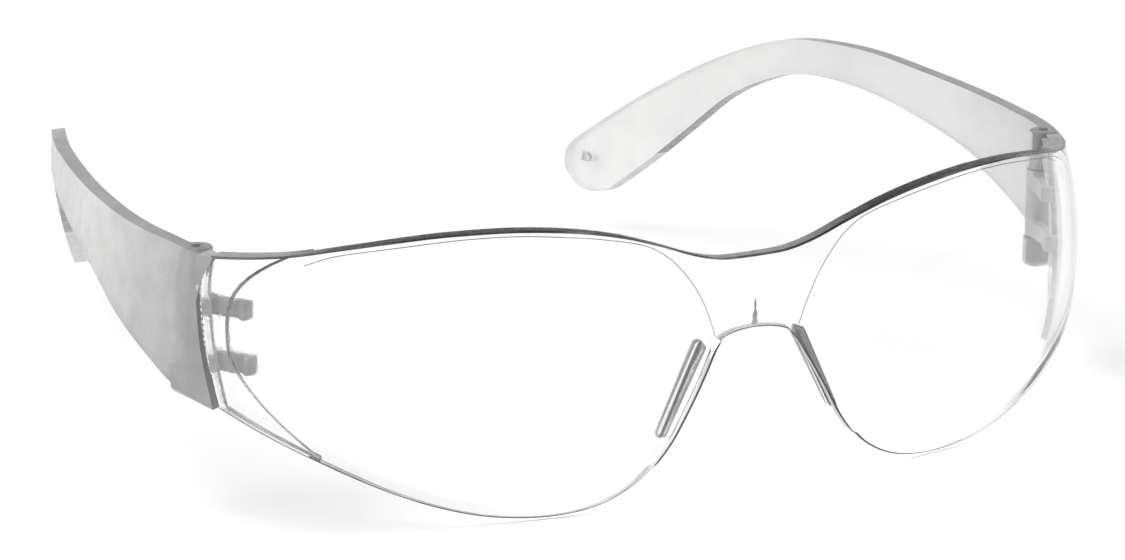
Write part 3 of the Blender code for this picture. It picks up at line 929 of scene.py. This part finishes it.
def build_nose_pad():
    """A tapered rib with a rounded head, along the side of the nose cut-out."""
    top = Vector(PAD_TOP)
    bottom = Vector(PAD_BOTTOM)
    along = (top - bottom).normalized()
    back = Vector((0.0, 1.0, 0.0))
    back = (back - along * back.dot(along)).normalized()
    side = back.cross(along)
    length = (top - bottom).length
    shape = bmesh.new()
    rings = []
    corner_steps = 5
    for i in range(PAD_STATIONS + 1):
        share = i / PAD_STATIONS
        run = length * share
        width = PAD_WIDTH * (0.62 + 0.38 * share)
        depth = PAD_DEPTH * (0.8 + 0.2 * share)
        for end, reach in ((run, PAD_FOOT_ROUND), (length - run, PAD_HEAD_ROUND)):
            if end < reach:
                close = math.sqrt(max(1 - (1 - end / reach) ** 2, 0.02))
                width *= close
                depth *= 0.35 + 0.65 * close
        radius = PAD_CORNER * min(width, depth)
        ring = []
        for corner in range(4):
            sx = 1 if corner in (0, 3) else -1
            sy = 1 if corner in (0, 1) else -1
            for k in range(corner_steps):
                turn = math.radians(90 * corner + 90 * k / (corner_steps - 1))
                px = sx * (width / 2 - radius) + radius * math.cos(turn)
                py = sy * (depth / 2 - radius) + radius * math.sin(turn)
                spot = bottom + along * run + side * px + back * (py + (PAD_DEPTH - depth) * PAD_LEAN)
                ring.append(shape.verts.new(place(spot)))
        rings.append(ring)
    for lower, upper in zip(rings, rings[1:]):
        for i in range(len(lower)):
            k = (i + 1) % len(lower)
            face = shape.faces.new((lower[i], lower[k], upper[k], upper[i]))
            # The rounded corners and the two ends take slot 1, the painted shade line.
            face.material_index = int(i % corner_steps in (1, 2))
    for end in (rings[0], rings[-1]):
        shape.faces.new(end).material_index = 1
    pad = finished(shape, "nose_rib_left")
    shade(pad, 60)
    return pad


# ---------------------------------------------------------------- studio

def build_camera():
    data = bpy.data.cameras.new("camera")
    data.lens = CAMERA_LENS
    data.sensor_width = 36.0
    data.clip_start = 0.01
    data.clip_end = 50.0
    camera = bpy.data.objects.new("camera", data)
    bpy.context.scene.collection.objects.link(camera)
    camera.location = CAMERA_PLACE
    turn = math.radians(CAMERA_AZIMUTH)
    drop = math.radians(CAMERA_DROP)
    forward = Vector((math.sin(turn) * math.cos(drop), math.cos(turn) * math.cos(drop), -math.sin(drop)))
    camera.rotation_euler = forward.to_track_quat("-Z", "Y").to_euler()
    bpy.context.scene.camera = camera


def build_floor():
    shape = bmesh.new()
    bmesh.ops.create_grid(shape, x_segments=8, y_segments=8, size=FLOOR_HALF)
    mesh = bpy.data.meshes.new("floor")
    shape.to_mesh(mesh)
    shape.free()
    floor = new_object("floor", mesh)
    floor.location.z = CAD_LOW.z - FLOOR_DROP
    look = Look("pale_paper", Roughness=0.7)
    look.drive("Base Color", look.ramp(look.noise(300.0), [(0.3, grey(0.93)), (0.7, grey(0.96))]))
    mesh.materials.append(look.material)


def build_world():
    world = bpy.data.worlds.new("studio")
    bpy.context.scene.world = world
    world.use_nodes = True
    nodes = world.node_tree.nodes
    links = world.node_tree.links
    background = nodes["Background"]
    spot = nodes.new("ShaderNodeTexCoord").outputs["Generated"]
    split = nodes.new("ShaderNodeSeparateXYZ")
    links.new(spot, split.inputs[0])
    ramp = nodes.new("ShaderNodeValToRGB")
    ramp.color_ramp.elements[0].position = 0.3
    ramp.color_ramp.elements[0].color = (1.0, 1.0, 1.0, 1.0)
    ramp.color_ramp.elements[1].position = 0.75
    ramp.color_ramp.elements[1].color = (0.25, 0.25, 0.26, 1.0)
    links.new(split.outputs["Z"], ramp.inputs[0])
    links.new(ramp.outputs[0], background.inputs[0])
    background.inputs[1].default_value = 1.0


def area_light(name, spot, power):
    """A soft square lamp that points at the foot of the glasses."""
    data = bpy.data.lights.new(name, "AREA")
    data.shape = "SQUARE"
    data.size = LAMP_SIZE
    data.energy = power
    lamp = bpy.data.objects.new(name, data)
    bpy.context.scene.collection.objects.link(lamp)
    lamp.location = spot
    lamp.rotation_euler = (-Vector(spot)).to_track_quat("-Z", "Y").to_euler()


def build_studio():
    build_camera()
    build_floor()
    build_world()
    for name, spot, power in LAMPS:
        area_light(name, spot, power)
    bpy.context.scene.view_settings.view_transform = "Standard"


# ---------------------------------------------------------------- assembly

def fit(item, body, node, looks=()):
    """Dresses a piece, and makes it stand for its CAD node and move with its body."""
    for look in looks:
        item.data.materials.append(look)
    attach(item, body)
    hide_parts(node)


def temple_looks():
    """Frosted outside, smoother inside, edges, and the lower edge. Their tones along the temple are painted
    light and shade: the inside is painted lighter than the outside, the edges darker, and the lower edge
    darkest.
    """
    outside = [(0.0, 0.5), (0.14, 0.56), (0.35, 0.74), (0.58, 0.66), (0.72, 0.88), (1.0, 0.97)]
    inside = [(0.0, 0.7), (0.15, 0.8), (0.4, 0.97), (1.0, 0.99)]
    edges = [(0.0, 0.34), (0.58, 0.38), (0.75, 0.6), (1.0, 0.7)]
    return [frosted_look("frosted_outside_painted_shade", outside, 0.4, 0.4, 0.6, mottled=0.84),
            frosted_look("smoother_inside_painted_light", inside, 0.5, 0.3, 0.5, mottled=0.94),
            frosted_look("frosted_edge_painted_shade", edges, 0.3, 0.4, 0.6),
            painted_line_look("lower_edge_painted_shade", 0.24, 0.36, 0.55)]


def main():
    build_studio()
    fit(build_lens(), "front", "lens")
    border = build_optic_border()
    # The crease and the gate vestige are drawn as opaque grey lines: painted shade in place of clear
    # plastic.
    border_look = painted_line_look("crease_painted_shade", 0.1, 0.2, 0.4)
    for piece in (border, mirrored(border, "optic_border_right")):
        fit(piece, "front", "lens", [border_look])
    fit(build_gate_mark(), "front", "lens", [painted_line_look("gate_scar_painted_shade", 0.12, 0.3, 0.5)])
    clip_look = frosted_look("frosted_clip_plastic", [(0.0, 0.55), (1.0, 0.6)], 0.5, 0.3, 0.45)
    rib_looks = [pad_look(), painted_line_look("rib_edge_painted_shade", 0.03, 0.12, 0.35)]
    kinds = [
        (build_temple(), "temple_arm_right", "temple", "temple", "frosted_temple", temple_looks()),
        (build_clip(), "hinge_clip_soft_right", "front", "hinge_clip", "frosted_clip", [clip_look]),
        (build_pin(), "hinge_pin_turned_right", "temple", "hinge_pin", "pin_steel", [steel_look()]),
        (build_nose_pad(), "nose_rib_right", "front", "nose_pad", "clear_pad", rib_looks)]
    for item, twin_name, body, node, slot, looks in kinds:
        twin = mirrored(item, twin_name)
        for piece, side in ((item, "left"), (twin, "right")):
            rides_on = f"{side}_temple" if body == "temple" else body
            fit(piece, rides_on, f"{node}_{side}", looks)


main()
